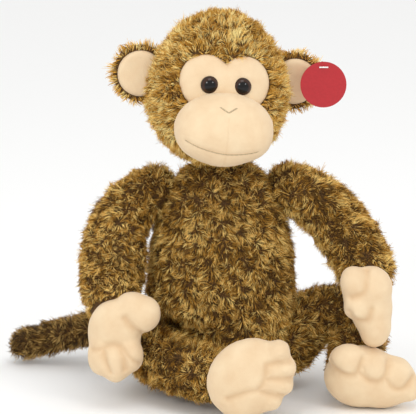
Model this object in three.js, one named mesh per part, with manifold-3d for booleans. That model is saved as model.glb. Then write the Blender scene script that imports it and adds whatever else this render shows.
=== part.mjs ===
// A seated plush monkey, sewn from long-pile plush with short-nap velboa for its
// face, ears, hands and feet. Every limb is a stuffed tube whose round top end
// sits in a socket of the body, so that it turns there as a sewn limb does.
//
// Millimetres, +Z up. The toy sits on z = 0 and faces -Y; its own left is +X.
// The origin is the centre of the flat seat that it rests on.

import * as THREE from 'three';
import { mergeVertices } from 'three/addons/utils/BufferGeometryUtils.js';
import Module from 'manifold-3d';

const wasm = await Module();
wasm.setup();

// ---------------------------------------------------------------- driving dimensions
const CLOTH = 1.6; // thickness of the plush backing and of the velboa
const GAP = 0.4; // between sewn pieces that touch
const SOCKET_GAP = 2.2; // round a limb's end, where it turns

const TORSO = { width: 116, depth: 92, height: 186, seat: 84 }; // seat is the flat's width
const HEAD = { width: 109, depth: 98, height: 120, overlap: 3 }; // overlap: how far it nests
const HEAD_TURN = 7; // degrees, how the head is sewn on: turned to its left
const HEAD_TILT = 4; // degrees, its left ear lower
const MUZZLE = { width: 79, depth: 52, height: 58, out: 2, drop: 24 };
const PATCH = { lobe: 20, spread: 13, rise: 10, thick: 1.6 }; // two lobes round the eyes
const EYE = { width: 14, dome: 5, apart: 27, above: 8.5, shaft: 4, washer: 13, washerThick: 1.5 };
const EAR = { width: 46, height: 48, thick: 11, rise: 8, dish: 37, lining: 1.6, out: 6.5, back: 6 };
const EAR_FLOOR = 1; // how far in front of the ear's middle its dish ends
const EAR_INWARD = 2; // how far the dish sits towards the head
const NOSE = { width: 12, height: 4, stroke: 1.6, rise: 12, thick: 1.2 };
const MOUTH = { width: 60, sag: 4, stroke: 1.5, below: 14, thick: 1.0 };

const ARM = { shoulder: 19, cuff: 21, thick: 22.5 }; // radii at the shoulder, wrist and middle
const HAND = { palm: 19, length: 24, depth: 13, fingers: 15, thumb: 10 }; // radii of its lobes
const LEG = { hip: 24, cuff: 20.5, thick: 22, lift: 18, splay: 20 }; // degrees up, and outwards
const FOOT = { sole: 33, half: 25, depth: 16, side: 24.5, toes: 21 }; // radii of its lobes
const CUFF_ROOM = 6.5; // between a cuff and the round end of the hand or foot in it
const FLOOR_ROOM = 0.5; // under a foot that lies on its side
const SOLE_UP = 2.7; // under the foot that shows its sole
const TAIL = { root: 12.5, tip: 11.5 };
const TAG = { width: 36, thick: 1.5, hole: 3, edge: 4 }; // a folded card
const FASTENER = { thick: 1.1, bar: 7 };
const LABEL = { width: 18, length: 26, thick: 0.8 }; // the blank sewn-in care label

const ROUND = 13; // sides round a limb, and meridians on a small egg
const FINE = 16; // on the head and the torso
const COARSE = 9; // on the paws' eggs and what fills them
const RINGS = 6; // along a limb
const DOME_RINGS = 3; // over its round end

// Pivots, where a sewn limb bends. They follow the body that they are sewn to.
const CHEST = 0.72; // the half width at the shoulders' height, as a share of the torso's own
const SHOULDER_PROUD = 11.24; // how far a shoulder's pivot stands out from the chest there
const SHOULDER_OUT = (CHEST * TORSO.width) / 2 + SHOULDER_PROUD;
const SHOULDER_UP = TORSO.height - 26;
const HIP_OUT = TORSO.width / 2 - 6;
const HIP_UP = LEG.hip + 10;
const HEAD_CENTRE = new THREE.Vector3(-3, -4, TORSO.height + HEAD.height / 2 - HEAD.overlap);

// ---------------------------------------------------------------- colours and finishes
const FUR = { color: 0x9a7338, roughness: 1, metalness: 0 };
const FUR_DARK = { color: 0x6e4f26, roughness: 1, metalness: 0 };
const VELBOA = { color: 0xf6dcb6, roughness: 0.9, metalness: 0 };
const STUFFING = { color: 0xf4f2ec, roughness: 1, metalness: 0 };
const PELLETS = { color: 0xe8e8e4, roughness: 0.5, metalness: 0 };
const EYE_PLASTIC = { color: 0x0c0806, roughness: 0.08, metalness: 0 };
const WASHER_PLASTIC = { color: 0xd8d4c8, roughness: 0.4, metalness: 0 };
const THREAD = { color: 0x8c7a5e, roughness: 0.8, metalness: 0 };
const CARD = { color: 0xc01722, roughness: 0.4, metalness: 0 };
const NYLON = { color: 0xf0f0f0, roughness: 0.3, metalness: 0 };
const SATIN = { color: 0xffffff, roughness: 0.6, metalness: 0 };

const monkey = new THREE.Group();
const v3 = (x, y, z) => new THREE.Vector3(x, y, z);
const rad = THREE.MathUtils.degToRad;

// ---------------------------------------------------------------- solids and booleans
function solid(geometry) {
	geometry.deleteAttribute('normal');
	geometry.deleteAttribute('uv');
	const merged = mergeVertices(geometry, 1e-4);
	return new wasm.Manifold(new wasm.Mesh({
		numProp: 3,
		vertProperties: new Float32Array(merged.attributes.position.array),
		triVerts: new Uint32Array(merged.index.array),
	}));
}

const join = (...solids) => solids.reduce((all, one) => all.add(one));
const cut = (from, ...tools) => tools.reduce((left, tool) => left.subtract(tool), from);

function add(name, manifold, finish) {
	const mesh = manifold.getMesh();
	const geometry = new THREE.BufferGeometry();
	geometry.setAttribute('position', new THREE.BufferAttribute(mesh.vertProperties, 3));
	geometry.setIndex(new THREE.BufferAttribute(mesh.triVerts, 1));
	geometry.computeVertexNormals();
	const piece = new THREE.Mesh(geometry, new THREE.MeshStandardMaterial(finish));
	piece.name = name;
	monkey.add(piece);
}

// An ellipsoid with its poles along its own Z, turned by Euler angles in degrees.
function egg(centre, radii, turn = [0, 0, 0], sides = ROUND) {
	const geometry = new THREE.SphereGeometry(1, sides, Math.round(sides * 0.6));
	geometry.rotateX(Math.PI / 2);
	geometry.scale(...radii);
	const angles = new THREE.Euler(...turn.map(rad), 'ZYX');
	const place = new THREE.Matrix4().makeRotationFromEuler(angles).setPosition(centre);
	return solid(geometry.applyMatrix4(place));
}

const ball = (centre, radius, sides = ROUND) => egg(centre, [radius, radius, radius], [0, 0, 0], sides);

// A round bar from one point to another.
function bar(from, to, radius, sides = COARSE) {
	const along = to.clone().sub(from);
	const geometry = new THREE.CylinderGeometry(radius, radius, along.length(), sides);
	const turn = new THREE.Quaternion().setFromUnitVectors(v3(0, 1, 0), along.clone().normalize());
	geometry.applyMatrix4(new THREE.Matrix4().makeRotationFromQuaternion(turn));
	geometry.translate(...from.clone().add(to).multiplyScalar(0.5));
	return solid(geometry);
}

// ---------------------------------------------------------------- a stuffed tube
// A lathed profile of (radius, distance along) is bent along a curve, ring by ring.
// Before the curve's start and past its end the tube goes straight on.
function bend(profile, curve) {
	const geometry = new THREE.LatheGeometry(profile, ROUND);
	const length = curve.getLength();
	const frames = curve.computeFrenetFrames(RINGS);
	const places = geometry.attributes.position;
	for (let i = 0; i < places.count; i++) {
		const along = places.getY(i);
		const ring = THREE.MathUtils.clamp(Math.round((along / length) * RINGS), 0, RINGS);
		const place = curve.getPointAt(ring / RINGS);
		place.addScaledVector(frames.tangents[ring], along - (ring / RINGS) * length);
		place.addScaledVector(frames.normals[ring], places.getX(i));
		place.addScaledVector(frames.binormals[ring], -places.getZ(i));
		places.setXYZ(i, place.x, place.y, place.z);
	}
	return solid(geometry);
}

// The radius swells from the round top end to the middle and narrows to the cuff.
function tubeRadius(limb, share) {
	const swell = Math.sin(Math.PI * Math.min(share / 0.9, 1));
	const ends = THREE.MathUtils.lerp(limb.top, limb.end, share);
	return ends + (limb.thick - Math.max(limb.top, limb.end)) * swell;
}

const HOLE_ANGLE = 0.7; // radians: how far a round open end closes in

// The outline of a tube shrunk by inset. It starts at its round closed end and stops
// some rings short of the other, open end. With rounded, that end closes in round a hole.
function tubeOutline(limb, inset, short = 0, rounded = false) {
	const length = limb.curve.getLength();
	const points = [];
	const first = tubeRadius(limb, 0) - inset;
	for (let i = 0; i < DOME_RINGS; i++) {
		const angle = (Math.PI / 2) * (i / DOME_RINGS);
		points.push(new THREE.Vector2(first * Math.sin(angle), -first * Math.cos(angle)));
	}
	for (let i = 0; i <= RINGS - short; i++) {
		points.push(new THREE.Vector2(tubeRadius(limb, i / RINGS) - inset, length * (i / RINGS)));
	}
	const last = points.at(-1);
	for (let i = 1; i <= DOME_RINGS && rounded; i++) {
		const angle = (Math.PI / 2 - HOLE_ANGLE) * (i / DOME_RINGS);
		points.push(new THREE.Vector2(last.x * Math.cos(angle), last.y + last.x * Math.sin(angle)));
	}
	return points;
}

const closed = (outline) => [...outline, new THREE.Vector2(0, outline.at(-1).y)];

// A limb is a cloth tube that is open at one end, and what fills it.
function stuffedTube(limb) {
	const outside = tubeOutline(limb, 0, 0, limb.rounded);
	const inside = tubeOutline(limb, CLOTH, 0, limb.rounded).reverse();
	limb.skin = bend([...outside, ...inside], limb.curve);
	limb.filling = bend(closed(tubeOutline(limb, CLOTH + GAP, limb.short)), limb.curve);
	return limb;
}

// The room that a limb needs in the body that it is sewn to: the ball of its end, and
// the stretches that lie against the body, at each turn that it may take there.
function limbRoom(limb, grow) {
	const radius = Math.max(limb.top, limb.thick) + SOCKET_GAP + grow;
	const [pivot, ...stops] = [0, ...limb.against].map((share) => limb.curve.getPointAt(share));
	const back = pivot.clone().negate().toArray();
	const place = (shape, turn) => shape.translate(back).rotate(turn).translate(pivot.toArray());
	const stretches = stops.map((stop, i) => {
		const stretch = bar(i ? stops[i - 1] : pivot, stop, radius, ROUND);
		return i < stops.length - 1 ? join(stretch, ball(stop, radius, COARSE)) : stretch;
	});
	const turned = limb.turns.flatMap((turn) => stretches.map((stretch) => place(stretch, turn)));
	return join(ball(pivot, limb.top + SOCKET_GAP + grow), ...turned);
}

// ---------------------------------------------------------------- limbs along their curves
// A limb's points are given from its pivot, so the limb moves with the body it is sewn to.
const from = (pivot, steps) => [pivot, ...steps.map((step) => pivot.clone().add(v3(...step)))];
const smooth = (pivot, ...steps) => new THREE.CatmullRomCurve3(from(pivot, steps));
const bezier = (pivot, ...steps) => new THREE.CubicBezierCurve3(...from(pivot, steps));
const arm = { top: ARM.shoulder, end: ARM.cuff, thick: ARM.thick, short: 1, against: [], turns: [] };
const leg = { top: LEG.hip, end: LEG.cuff, thick: LEG.thick, short: 1 };

const rightShoulder = v3(-SHOULDER_OUT, 2, SHOULDER_UP);
const rightArm = stuffedTube({
	...arm,
	curve: smooth(rightShoulder, [-18, -8, -11], [-31, -18, -32], [-35, -33, -58], [-33, -46, -78]),
});

// The left hand hangs over the left foot, so this arm is lifted by as much as the foot is tall.
const lifted = 2 * FOOT.side - 112;
const leftShoulder = v3(SHOULDER_OUT + 2, 2, SHOULDER_UP + 2);
const leftArm = stuffedTube({
	...arm,
	curve: smooth(leftShoulder, [25, -8, -12], [43, -18, -32], [55, -34, -50], [58, -48, lifted]),
});

const rightLeg = stuffedTube({
	...leg,
	against: [0.5, 0.95],
	turns: [0, LEG.lift].map((up) => [-up, 0, 0]),
	curve: bezier(v3(-HIP_OUT, 2, HIP_UP), [-10, -28, 0], [12, -60, -3], [50, -76, -4]),
});
const leftLeg = stuffedTube({
	...leg,
	against: [0.3],
	turns: [0, LEG.splay].map((out) => [0, 0, out]),
	curve: bezier(v3(HIP_OUT, 2, HIP_UP), [34, 6, 46], [74, 0, 24], [52, -30, -2]),
});

const tailRoot = v3(-18, TORSO.depth / 2 + 1, 42);
const tailLine = from(tailRoot, [[-32, 17, -1], [-86, 14, -10], [-146, 18, -26]]);
const tail = stuffedTube({
	top: TAIL.tip, end: TAIL.root, thick: TAIL.root, short: 0, rounded: true,
	curve: new THREE.CatmullRomCurve3(tailLine.reverse()),
});

// ---------------------------------------------------------------- torso
function torsoOutline(inset) {
	const wide = TORSO.width / 2 - inset;
	const tall = TORSO.height - 2 * inset;
	const flat = TORSO.seat / 2 - inset;
	const belly = [[0.94, 0.05], [1, 0.17], [1.01, 0.32], [0.99, 0.47]];
	const chest = [[0.94, 0.62], [0.86, 0.75], [CHEST, 0.87], [0.5, 0.95], [0.26, 0.99]];
	const sides = [...belly, ...chest]; // shares of the half width and of the height
	const points = [[0, 0], [flat, 0], ...sides.map(([r, z]) => [r * wide, z * tall]), [0, tall]];
	return points.map(([r, z]) => new THREE.Vector2(r, z + inset));
}

function torsoSolid(inset) {
	const geometry = new THREE.LatheGeometry(torsoOutline(inset), FINE);
	geometry.rotateX(Math.PI / 2);
	geometry.scale(1, (TORSO.depth / 2 - inset) / (TORSO.width / 2 - inset), 1);
	return solid(geometry);
}

const NECK_RADIUS = HEAD.width / 2 + 1; // of the hollow that the head sits in
const neckCentre = HEAD_CENTRE.clone().add(v3(0, 0, NECK_RADIUS - HEAD.height / 2));

function sockets(extra) {
	const cuts = [rightArm, leftArm, rightLeg, leftLeg].map((limb) => limbRoom(limb, extra));
	cuts.push(ball(tailRoot, TAIL.root + SOCKET_GAP + extra));
	return [...cuts, ball(neckCentre, NECK_RADIUS + SOCKET_GAP + extra, FINE)];
}

// The neck seam's opening, which the filling shows through.
const NECK_HOLE = 15;
const neckAt = (height) => v3(HEAD_CENTRE.x, 2, height);
const neckHole = bar(neckAt(TORSO.height - 40), neckAt(TORSO.height), NECK_HOLE, ROUND);

const torsoCavity = join(cut(torsoSolid(CLOTH), ...sockets(CLOTH)), neckHole);
add('torso_skin', cut(torsoSolid(0), ...sockets(0), torsoCavity), FUR);

const BAG_TOP = 34; // the pellet bag fills the seat up to here
const wholeFilling = cut(torsoSolid(CLOTH + GAP), ...sockets(CLOTH + GAP));
const box = (x, y, z, centre) => solid(new THREE.BoxGeometry(x, y, z).translate(...centre));
const seatSlab = (top) => box(2 * TORSO.width, 2 * TORSO.depth, 2 * top, v3());
add('torso_stuffing', cut(wholeFilling, seatSlab(BAG_TOP)), STUFFING);
add('seat_pellet_bag', wholeFilling.intersect(seatSlab(BAG_TOP - GAP)), PELLETS);

// ---------------------------------------------------------------- head
const headAngles = new THREE.Euler(0, rad(HEAD_TILT), rad(HEAD_TURN), 'ZYX');
const headPlace = new THREE.Matrix4().makeRotationFromEuler(headAngles).setPosition(HEAD_CENTRE);
const onHead = (x, y, z) => v3(x, y, z).applyMatrix4(headPlace);
const headBack = v3().setFromMatrixColumn(headPlace, 1);
const headEuler = [0, HEAD_TILT, HEAD_TURN];

// The cheeks are wider than the crown, so the widest ring lies below the middle.
function headSolid(grow) {
	const geometry = new THREE.SphereGeometry(1, FINE, Math.round(FINE * 0.7));
	geometry.rotateX(Math.PI / 2);
	const places = geometry.attributes.position;
	for (let i = 0; i < places.count; i++) {
		const z = places.getZ(i);
		const narrow = 1 - 0.09 * z - 0.05 * z * z;
		places.setXYZ(i, places.getX(i) * narrow, places.getY(i) * narrow, z);
	}
	geometry.scale(HEAD.width / 2 + grow, HEAD.depth / 2 + grow, HEAD.height / 2 + grow);
	return solid(geometry.applyMatrix4(headPlace));
}

const muzzleCentre = onHead(0, -HEAD.depth / 2 - MUZZLE.out, -MUZZLE.drop);
const muzzleSizes = [MUZZLE.width, MUZZLE.depth, MUZZLE.height];
const muzzleSolid = (grow) => egg(muzzleCentre, muzzleSizes.map((size) => size / 2 + grow), headEuler, FINE);

const SHAFT_LENGTH = 20;
const WASHER_DEEP = 10; // behind the eye's seat
const forward = headBack.clone().negate();
const sideOf = { right: -1, left: 1 };
const eyeSeat = (side, out = 0) => onHead(side * EYE.apart / 2, -HEAD.depth / 2 - out, EYE.above);
const eyeShaft = (side, grow) => bar(eyeSeat(side, -SHAFT_LENGTH), eyeSeat(side, 2), EYE.shaft / 2 + grow);

const neckPassage = bar(onHead(0, 4, -HEAD.height / 2 - 5), onHead(0, 4, -10), NECK_HOLE, ROUND);
const shaftHoles = Object.values(sideOf).map((side) => eyeShaft(side, GAP));
add('head_skin', cut(headSolid(0), headSolid(-CLOTH), neckPassage, ...shaftHoles), FUR);

for (const [name, side] of Object.entries(sideOf)) {
	const dome = egg(eyeSeat(side, 0.5), [EYE.width / 2, EYE.dome, EYE.width / 2], headEuler);
	const faceSide = cut(dome, headSolid(PATCH.thick + 2 * GAP), muzzleSolid(GAP));
	add(`${name}_eye`, join(faceSide, eyeShaft(side, 0)), EYE_PLASTIC);
	const inside = eyeSeat(side, -WASHER_DEEP - EYE.washerThick);
	const plate = bar(inside, eyeSeat(side, -WASHER_DEEP), EYE.washer / 2, ROUND);
	add(`${name}_eye_washer`, cut(plate, eyeShaft(side, GAP)), WASHER_PLASTIC);
}

const washerRoom = Object.values(sideOf).map((side) => {
	return bar(eyeSeat(side, -SHAFT_LENGTH - 1), eyeSeat(side, 0), EYE.washer / 2 + GAP, ROUND);
});
add('head_stuffing', cut(headSolid(-CLOTH - GAP), ...washerRoom), STUFFING);

// A sheet that lies on the face: the part of a prism between two grown surfaces.
const lobeAt = (side, y) => onHead(side * PATCH.spread, y, PATCH.rise);
const faceLobe = (side) => bar(lobeAt(side, 0), lobeAt(side, -HEAD.depth), PATCH.lobe, ROUND);
const patchSheet = join(faceLobe(-1), faceLobe(1)).intersect(headSolid(GAP + PATCH.thick));
add('face_patch', cut(patchSheet, headSolid(GAP), muzzleSolid(GAP), ...shaftHoles), VELBOA);

const muzzleHollow = muzzleSolid(-CLOTH);
add('muzzle_skin', cut(muzzleSolid(0), muzzleHollow, headSolid(GAP)), VELBOA);
add('muzzle_stuffing', cut(muzzleSolid(-CLOTH - GAP), headSolid(GAP)), STUFFING);

// Thread lies on the muzzle: an extruded outline between two grown surfaces.
function stitch(shape, thick) {
	const geometry = new THREE.ExtrudeGeometry(shape, { depth: HEAD.depth, bevelEnabled: false });
	geometry.rotateX(Math.PI / 2);
	geometry.translate(0, -HEAD.depth / 2, 0);
	geometry.applyMatrix4(headPlace);
	return cut(solid(geometry).intersect(muzzleSolid(GAP + thick)), muzzleSolid(GAP));
}

function noseShape() {
	const base = -MUZZLE.drop + NOSE.rise;
	const half = NOSE.width / 2;
	const inner = half - NOSE.stroke * 1.4;
	const corners = [[0, 0], [half, NOSE.height], [inner, NOSE.height], [0, NOSE.stroke * 1.3],
		[-inner, NOSE.height], [-half, NOSE.height]];
	return new THREE.Shape(corners.map(([x, z]) => new THREE.Vector2(x, base + z)));
}

function mouthShape() {
	const level = -MUZZLE.drop - MOUTH.below;
	const line = (drop) => new THREE.QuadraticBezierCurve(
		new THREE.Vector2(-MOUTH.width / 2, level + MOUTH.sag - drop),
		new THREE.Vector2(0, level - MOUTH.sag - drop),
		new THREE.Vector2(MOUTH.width / 2, level + MOUTH.sag - drop)).getPoints(12);
	return new THREE.Shape([...line(0), ...line(MOUTH.stroke).reverse()]);
}

add('nose_stitch', stitch(noseShape(), NOSE.thick), THREAD);
add('mouth_stitch', stitch(mouthShape(), MOUTH.thick), THREAD);

// ---------------------------------------------------------------- ears
const earCentre = (side) => onHead(side * (HEAD.width / 2 + EAR.out), EAR.back, EAR.rise);
const earSizes = [EAR.width, EAR.thick, EAR.height];
const earSolid = (side, grow) => egg(earCentre(side), earSizes.map((size) => size / 2 + grow), headEuler);

for (const [name, side] of Object.entries(sideOf)) {
	const middle = earCentre(side).add(v3(-side * EAR_INWARD, 0, 0));
	const inFront = (by) => middle.clone().addScaledVector(forward, by);
	const dish = bar(inFront(EAR_FLOOR), inFront(EAR.thick), EAR.dish / 2, ROUND);
	add(`${name}_ear_back`, cut(earSolid(side, 0), dish, headSolid(GAP)), FUR);
	const back = inFront(EAR_FLOOR + GAP);
	const lining = bar(back, inFront(EAR_FLOOR + GAP + EAR.lining), EAR.dish / 2 - GAP, ROUND);
	add(`${name}_ear_lining`, cut(lining, headSolid(GAP)), VELBOA);
}

// ---------------------------------------------------------------- hands and feet
// A paw is a few joined lobes, and a ball that turns in the limb's open cuff. Each lobe is
// its centre, from the pivot, its radii and its turn. A passage through the ball lets the
// pellets in: it starts outside the ball, at a step in shares of the ball's radius.
function addPaw(name, pivot, ballRadius, passageStep, lobes) {
	const placed = lobes.map(([step, radii, turn]) => [pivot.clone().add(v3(...step)), radii, turn]);
	const shrunk = (by) => join(...placed.map(([centre, radii, turn]) => {
		return egg(centre, radii.map((r) => r - by), turn, COARSE);
	}));
	const passageStart = pivot.clone().addScaledVector(v3(...passageStep), ballRadius);
	const passage = bar(passageStart, placed[0][0], ballRadius / 2, COARSE);
	const skin = cut(join(ball(pivot, ballRadius, COARSE), shrunk(0)), shrunk(CLOTH), passage);
	add(`${name}_skin`, skin, VELBOA);
	add(`${name}_pellets`, shrunk(CLOTH + GAP), PELLETS);
}

// A limb's skin and filling, hollowed for the ball that turns in its cuff.
function addLimb(name, limb, pivot, ballRadius) {
	add(`${name}_skin`, limb.skin, FUR);
	add(`${name}_stuffing`, cut(limb.filling, ball(pivot, ballRadius + SOCKET_GAP, COARSE)), STUFFING);
}

const wristBall = ARM.cuff - CUFF_ROOM;
const ankleBall = LEG.cuff - CUFF_ROOM;
const endOf = (limb, step) => limb.curve.getPointAt(1).add(v3(...step));
const LEVEL = [0, 0, 0];

const rightWrist = endOf(rightArm, [1, -6, -9]);
addLimb('right_arm', rightArm, rightWrist, wristBall);
addPaw('right_hand', rightWrist, wristBall, [-0.07, 0.48, 1.04], [
	[[3, -12, -16], [HAND.palm, HAND.depth, HAND.length], [10, 0, 0]],
	[[3, -18, -33], [HAND.palm - 2, HAND.depth - 1, HAND.fingers], LEVEL],
	[[22, -14, 0], [HAND.thumb + 2, HAND.depth - 3.5, HAND.thumb + 2], [0, 15, 0]],
]);

// This hand is seen from its thumb's side, so it is narrower.
const leftWrist = endOf(leftArm, [1, -8, -6]);
addLimb('left_arm', leftArm, leftWrist, wristBall);
addPaw('left_hand', leftWrist, wristBall, [-0.07, 0.55, 0.9], [
	[[2, -4, -11], [HAND.palm - 3, HAND.depth, HAND.length - 2], [8, 0, 0]],
	[[5, -8, -29], [HAND.palm - 7, HAND.depth - 1, HAND.fingers], [0, 8, 0]],
	[[-12, -11, -1], [HAND.thumb - 1, HAND.depth - 4, HAND.thumb + 1], LEVEL],
]);

// The right foot shows its sole, with the toes down on the floor.
const rightAnkle = endOf(rightLeg, [8, -8, 1]);
const soleHeight = Math.hypot(FOOT.sole, FOOT.half) / Math.SQRT2 + SOLE_UP;
addLimb('right_leg', rightLeg, rightAnkle, ankleBall);
addPaw('right_foot', rightAnkle, ankleBall, [-0.72, 0.72, -0.07], [
	[[14, -17, soleHeight - rightAnkle.z], [FOOT.sole, FOOT.depth, FOOT.half], [0, -45, 0]],
]);

// The left foot lies on its side, heel inwards.
const leftAnkle = endOf(leftLeg, [-1, -8, -2]);
const heelHeight = FOOT.side + FLOOR_ROOM;
const heelRadii = [FOOT.side + 3.5, FOOT.depth + 3, FOOT.side];
addLimb('left_leg', leftLeg, leftAnkle, ankleBall);
addPaw('left_foot', leftAnkle, ankleBall, [0.22, 0.86, 0.43], [
	[[7, -25, heelHeight - leftAnkle.z], heelRadii, LEVEL],
	[[28, -29, heelHeight - 2 - leftAnkle.z], [FOOT.toes, FOOT.depth, FOOT.toes - 1], LEVEL],
]);

add('tail_skin', tail.skin, FUR_DARK);
add('tail_stuffing', tail.filling, STUFFING);

// ---------------------------------------------------------------- tag, fastener and label
// The card hangs on a nylon filament in front of the left ear and swings about it.
const earEdge = HEAD.width / 2 + EAR.out + EAR.width / 2;
const tagPivot = onHead(earEdge - 4, -15, EAR.rise + 15);
const disc = (radius, thick, sides) => bar(v3(0, -thick / 2, 0), v3(0, thick / 2, 0), radius, sides);
const card = disc(TAG.width / 2, TAG.thick, 2 * FINE).translate([0, 0, TAG.edge - TAG.width / 2]);
const punched = cut(card, disc(TAG.hole / 2, 2 * TAG.thick));
add('tag_card', punched.translate(tagPivot.toArray()), CARD);

const beside = (out, y) => tagPivot.clone().add(v3(out, y, 0));
const clearOfCard = TAG.thick + FASTENER.thick;
const crossBar = [-1, 1].map((side) => beside((side * FASTENER.bar) / 2, -clearOfCard));
const filamentEnd = earCentre(sideOf.left).addScaledVector(forward, -1).add(v3(10, 0, 5));
const rear = beside(0, clearOfCard);
const filament = join(
	bar(beside(0, -clearOfCard), rear, FASTENER.thick / 2),
	ball(rear, FASTENER.thick / 2, COARSE),
	bar(rear, filamentEnd, FASTENER.thick / 2),
	bar(...crossBar, FASTENER.thick / 2),
);
add('tag_fastener', cut(filament, earSolid(sideOf.left, GAP)), NYLON);

const LABEL_OUT = (30 / 116) * TORSO.width; // from the middle of the back
const labelPlace = [LABEL_OUT, TORSO.depth / 2 + 4, LABEL.length / 2 + 14];
add('care_label', box(LABEL.thick, LABEL.width, LABEL.length, labelPlace), SATIN);

export default monkey;
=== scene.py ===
# %% [markdown]
# # A seated plush monkey
# The toy is sewn from long crimped pile, with short-nap velboa for its face, ears, hands and
# feet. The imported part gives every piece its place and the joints. Here each piece gets its
# soft shape, its pile or its stitches, and a finish.

# %% Load the fixed frame
import math

import bmesh
import bpy
import numpy as np
from mathutils import Euler, Matrix, Vector
from mathutils.bvhtree import BVHTree
from mathutils.kdtree import KDTree


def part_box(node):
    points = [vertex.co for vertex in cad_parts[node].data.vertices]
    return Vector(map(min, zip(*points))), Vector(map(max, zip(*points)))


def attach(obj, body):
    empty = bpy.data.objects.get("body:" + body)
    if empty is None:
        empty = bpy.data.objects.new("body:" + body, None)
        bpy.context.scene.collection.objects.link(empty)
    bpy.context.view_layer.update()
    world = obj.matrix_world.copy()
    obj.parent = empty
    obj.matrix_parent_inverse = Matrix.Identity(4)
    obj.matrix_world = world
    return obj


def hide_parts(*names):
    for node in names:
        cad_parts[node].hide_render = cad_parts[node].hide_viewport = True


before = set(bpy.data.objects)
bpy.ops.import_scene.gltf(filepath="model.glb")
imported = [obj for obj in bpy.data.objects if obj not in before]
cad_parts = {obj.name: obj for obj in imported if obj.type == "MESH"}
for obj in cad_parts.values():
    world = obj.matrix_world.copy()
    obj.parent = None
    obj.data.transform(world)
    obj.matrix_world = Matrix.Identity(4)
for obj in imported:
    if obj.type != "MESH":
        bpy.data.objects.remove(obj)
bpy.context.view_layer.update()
scene = bpy.context.scene
MM = 0.001

# %% [markdown]
# ## Camera, floor and light
# A plush toy is shown on a pale sweep under large soft lamps, so its shadows are weak and the
# pile's own shading carries the shape. The camera stands a little above the toy's eyes and
# far away, which keeps the feet from growing too large.

# %% Camera
TARGET = Vector((-0.0105, 0, 0.1468))
CAMERA_DISTANCE = 1.7
CAMERA_ELEVATION = math.radians(12)
FRAME_WIDTH = 0.3305
SENSOR_WIDTH = 36

camera = bpy.data.objects.new("camera", bpy.data.cameras.new("camera"))
scene.collection.objects.link(camera)
backwards = Vector((0, -math.cos(CAMERA_ELEVATION), math.sin(CAMERA_ELEVATION)))
camera.location = TARGET + CAMERA_DISTANCE * backwards
camera.rotation_euler = backwards.to_track_quat("Z", "Y").to_euler()
camera.data.sensor_width = SENSOR_WIDTH
camera.data.lens = SENSOR_WIDTH * CAMERA_DISTANCE / FRAME_WIDTH
scene.camera = camera
print("lens", round(camera.data.lens), "mm")

# %% One helper for nodes, one for colours
def linear(hex_colour):
    """An sRGB hex colour as the linear values that Blender's sockets take."""
    channels = [int(hex_colour[i:i + 2], 16) / 255 for i in (1, 3, 5)]
    curve = [c / 12.92 if c <= 0.04045 else ((c + 0.055) / 1.055) ** 2.4 for c in channels]
    return (*curve, 1)


def add_node(material, kind, inputs=(), **settings):
    """Adds a node. An input is a number or colour, or the output that is linked to it."""
    tree = material.node_tree
    node = tree.nodes.new(kind)
    for name, value in settings.items():
        setattr(node, name, value)
    for name, value in dict(inputs).items():
        if isinstance(value, bpy.types.NodeSocket):
            tree.links.new(value, node.inputs[name])
        else:
            node.inputs[name].default_value = value
    return node


def new_material(name, **sockets):
    """A material whose Principled shader has these constant values."""
    material = bpy.data.materials.new(name)
    material.use_nodes = True
    shader = material.node_tree.nodes["Principled BSDF"]
    for socket, value in sockets.items():
        shader.inputs[socket.replace("_", " ")].default_value = value
    return material, shader


def link(material, output, shader, socket):
    material.node_tree.links.new(output, shader.inputs[socket])


# %% Floor and lamps
FLOOR_HALF = 12


def make_floor():
    bm = bmesh.new()
    bmesh.ops.create_grid(bm, x_segments=1, y_segments=1, size=FLOOR_HALF)
    mesh = bpy.data.meshes.new("floor")
    bm.to_mesh(mesh)
    floor = bpy.data.objects.new("floor", mesh)
    scene.collection.objects.link(floor)
    paper, shader = new_material("matt_white_paper_sweep", Roughness=0.9)
    shader.inputs["Base Color"].default_value = linear("#FAFAF9")
    mesh.materials.append(paper)


def add_lamp(name, place, size, power):
    lamp = bpy.data.lights.new(name, "AREA")
    lamp.size = size
    lamp.energy = power
    holder = bpy.data.objects.new(name, lamp)
    scene.collection.objects.link(holder)
    holder.location = place
    holder.rotation_euler = (Vector(place) - TARGET).to_track_quat("Z", "Y").to_euler()


make_floor()
add_lamp("key_softbox", (-0.75, -1.6, 1.06), 0.45, 6)
add_lamp("fill_softbox", (1.17, -1.35, 1.06), 0.35, 4)
add_lamp("top_softbox", (0.1, -0.7, 1.8), 0.9, 6)
scene.world = bpy.data.worlds.new("studio")
scene.world.use_nodes = True
room_light = scene.world.node_tree.nodes["Background"].inputs
room_light["Color"].default_value = (1, 1, 1, 1)
room_light["Strength"].default_value = 0.92
scene.view_settings.view_transform = "Standard"
print("floor and lamps are up")

# %% [markdown]
# ## Making a stuffed skin
# A sewn skin is a few flat panels that the filling swells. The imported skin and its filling
# are copied together, wrapped in one even mesh, and blown up a little by a cloth simulation,
# so that the panels crown between their seams. A mesh can be sculpted by moving its points
# instead, but the simulation gives the tight, even roundness of real filling. The pile comes
# after that.

# %% Helpers for meshes
def as_object(name, mesh, *materials):
    piece = bpy.data.objects.new(name, mesh)
    scene.collection.objects.link(piece)
    for material in materials:
        mesh.materials.append(material)
    return piece


def from_bmesh(name, bm, *materials):
    bmesh.ops.recalc_face_normals(bm, faces=bm.faces[:])
    mesh = bpy.data.meshes.new(name)
    bm.to_mesh(mesh)
    bm.free()
    return as_object(name, mesh, *materials)


def applied(piece):
    """Swaps the piece's mesh for the one that its modifiers give."""
    shown = piece.evaluated_get(bpy.context.evaluated_depsgraph_get())
    mesh = bpy.data.meshes.new_from_object(shown)
    piece.modifiers.clear()
    piece.data = mesh
    return piece


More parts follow.
